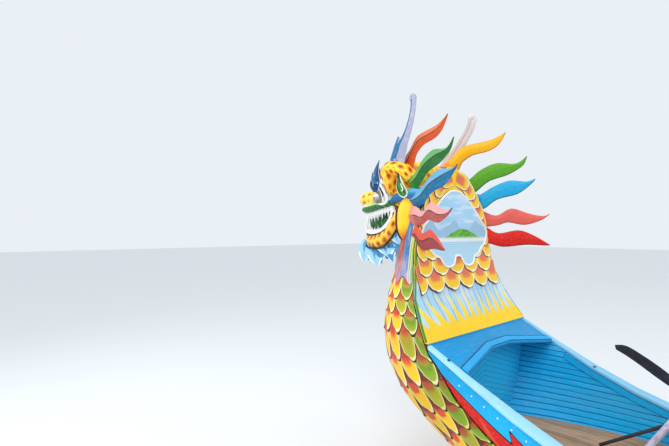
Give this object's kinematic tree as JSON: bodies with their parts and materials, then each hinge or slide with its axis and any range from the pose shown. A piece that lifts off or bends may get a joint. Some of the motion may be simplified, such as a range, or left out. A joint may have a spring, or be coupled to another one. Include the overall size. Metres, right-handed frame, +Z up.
{
  "type": "river dragon boat",
  "caption": "Wooden river boat with a carved dragon head and neck, painted scales, an open foredeck, a long windowed cabin, an engine box, a rudder and a tail.",
  "frame": {"origin": "on the centreline at the waterline, amidships", "axes": "+X to the bow, +Y to port, +Z up"},
  "size_m": [13.333, 2.4628, 3.6298],
  "materials": {
    "scale_paint": "painted wood, scales in yellow, red and green",
    "sky_blue_paint": "painted wood, weathered",
    "deep_blue_paint": "painted wood, weathered",
    "pale_blue_paint": "painted wood, worn edges",
    "white_paint": "painted wood, weathered",
    "yellow_paint": "painted wood, gloss",
    "orange_paint": "painted wood, gloss",
    "green_paint": "painted wood, gloss",
    "salmon_paint": "painted wood, gloss",
    "red_paint": "painted wood, gloss",
    "bottom_paint": "tarred bottom boards",
    "bare_wood": "bare worn boards",
    "dark_wood": "dark oiled wood",
    "steel": "weathered",
    "engine_iron": "painted, oily",
    "bronze": "dull"
  },
  "bodies": {
    "hull": {"beard": "pale_blue_paint", "bench_port": "bare_wood", "bench_starboard": "bare_wood", "bow_board": "deep_blue_paint", "bow_stem": "scale_paint", "cabin_floor": "bare_wood", "cabin_front": "sky_blue_paint", "cabin_rear": "sky_blue_paint", "cabin_side_aft_port": "white_paint", "cabin_side_aft_starboard": "white_paint", "cabin_side_fore_port": "white_paint", "cabin_side_fore_starboard": "white_paint", "dragon_tail": "yellow_paint", "ear_port": "green_paint", "ear_starboard": "green_paint", "engine": "engine_iron", "engine_box": "sky_blue_paint", "foredeck_floor": "bare_wood", "foredeck_lining_port": "sky_blue_paint", "foredeck_lining_starboard": "sky_blue_paint", "gunwale_cap_port": "pale_blue_paint", "gunwale_cap_starboard": "pale_blue_paint", "horn_port": "white_paint", "horn_starboard": "white_paint", "hull_bottom": "bottom_paint", "hull_side_bow_port": "scale_paint", "hull_side_bow_starboard": "scale_paint", "hull_side_main_port": "scale_paint", "hull_side_main_starboard": "scale_paint", "hull_side_stern_port": "scale_paint", "hull_side_stern_starboard": "scale_paint", "lower_jaw": "orange_paint", "mane_flame_1_port": "orange_paint", "mane_flame_1_starboard": "orange_paint", "mane_flame_2_port": "green_paint", "mane_flame_2_starboard": "green_paint", "mane_flame_3_port": "sky_blue_paint", "mane_flame_3_starboard": "sky_blue_paint", "mane_flame_4_port": "salmon_paint", "mane_flame_4_starboard": "salmon_paint", "mane_flame_5_port": "red_paint", "mane_flame_5_starboard": "red_paint", "neck": "scale_paint", "neck_panel": "pale_blue_paint", "roof_middle": "sky_blue_paint", "roof_side_port": "sky_blue_paint", "roof_side_starboard": "sky_blue_paint", "shaft_strut": "steel", "skull": "orange_paint", "snout": "orange_paint", "stern_deck": "bare_wood", "transom": "red_paint"},
    "port_door": {"cabin_door_port": "yellow_paint"},
    "starboard_door": {"cabin_door_starboard": "yellow_paint"},
    "lid": {"engine_lid": "sky_blue_paint"},
    "screw": {"propeller": "bronze", "propeller_shaft": "steel"},
    "steering": {"rudder": "steel", "tiller": "dark_wood"}
  },
  "joints": [
    {"name": "port_door_swing", "type": "hinge", "parent": "hull", "child": "port_door", "pos_m": [2.538, 0.418, 1.2], "axis": [0, 0, 1], "range_deg": [0, 100]},
    {"name": "starboard_door_swing", "type": "hinge", "parent": "hull", "child": "starboard_door", "pos_m": [2.538, -0.418, 1.2], "axis": [0, 0, -1], "range_deg": [0, 100]},
    {"name": "engine_lid_hinge", "type": "hinge", "parent": "hull", "child": "lid", "pos_m": [-4.686, 0, 0.812], "axis": [0, 1, 0], "range_deg": [0, 100]},
    {"name": "propeller_spin", "type": "hinge", "parent": "hull", "child": "screw", "pos_m": [-5.85, 0, -0.27], "axis": [0.9848, 0, 0.1736], "continuous": true},
    {"name": "rudder_turn", "type": "hinge", "parent": "hull", "child": "steering", "pos_m": [-6.15, 0, 0.5], "axis": [0, 0, 1], "range_deg": [-35, 35]}
  ]
}
